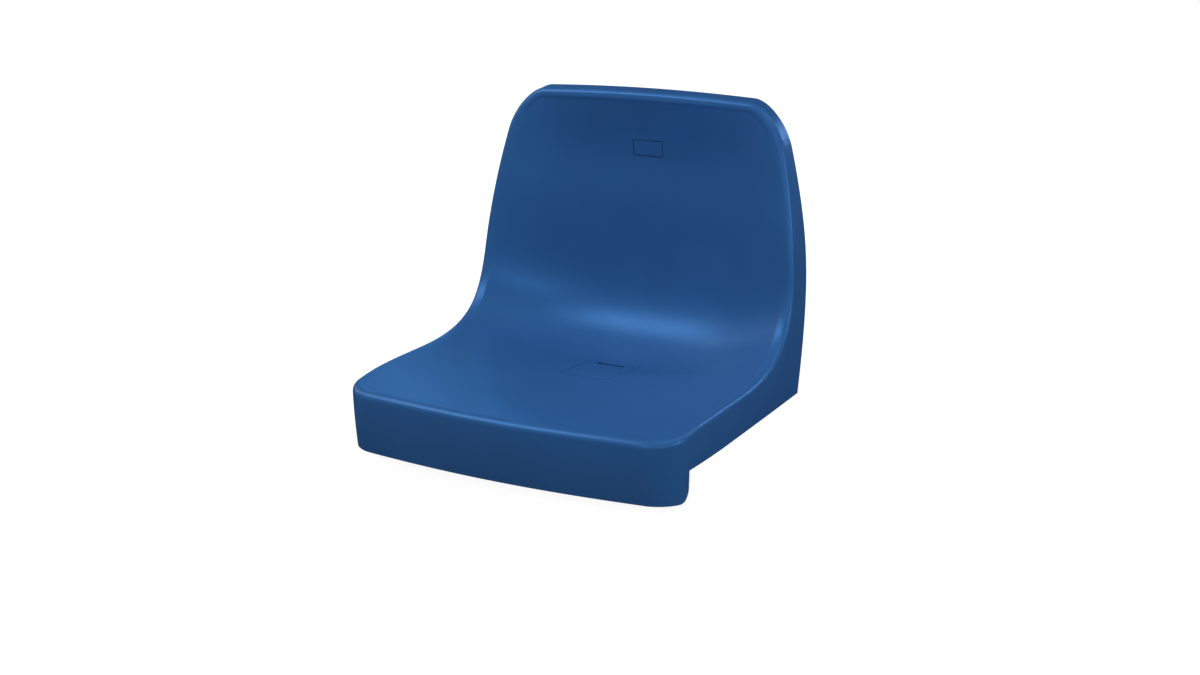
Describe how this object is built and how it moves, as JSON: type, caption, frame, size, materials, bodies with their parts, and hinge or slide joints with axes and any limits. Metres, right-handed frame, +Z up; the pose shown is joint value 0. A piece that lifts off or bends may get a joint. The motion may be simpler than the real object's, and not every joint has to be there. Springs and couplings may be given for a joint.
{
  "type": "stadium seat",
  "caption": "Fixed bucket seat for a stand: high-backed moulded shell with rolled rim, skirts and front apron, bolted down through a covered well in the pan.",
  "frame": {"origin": "middle of the fixing pad under the pan, on the plane where the seat rests on its step", "axes": "+Z up; -Y is the front, where the sitter's knees are; +X is the sitter's left; the seat is symmetric about X = 0"},
  "size_m": [0.431, 0.3859, 0.4149],
  "materials": {
    "shell_plastic": "satin moulded polypropylene, blue right through",
    "plate_plastic": "satin moulded plastic in the shell's blue",
    "zinc_steel": "bright zinc plating",
    "plug_nylon": "natural grey nylon"
  },
  "bodies": {
    "seat": {"seat_shell": "shell_plastic", "number_plate": "plate_plastic", "plate_clip_left": "zinc_steel", "plate_clip_right": "zinc_steel", "anchor_bolt_front": "zinc_steel", "anchor_bolt_rear": "zinc_steel", "washer_front": "zinc_steel", "washer_rear": "zinc_steel", "expansion_plug_front": "plug_nylon", "expansion_plug_rear": "plug_nylon"},
    "cover": {"fixing_cover": "shell_plastic"}
  },
  "joints": [
    {"name": "cover_lift", "type": "slide", "parent": "seat", "child": "cover", "axis": [0, 0, 1], "range_m": [0, 0.08]}
  ]
}
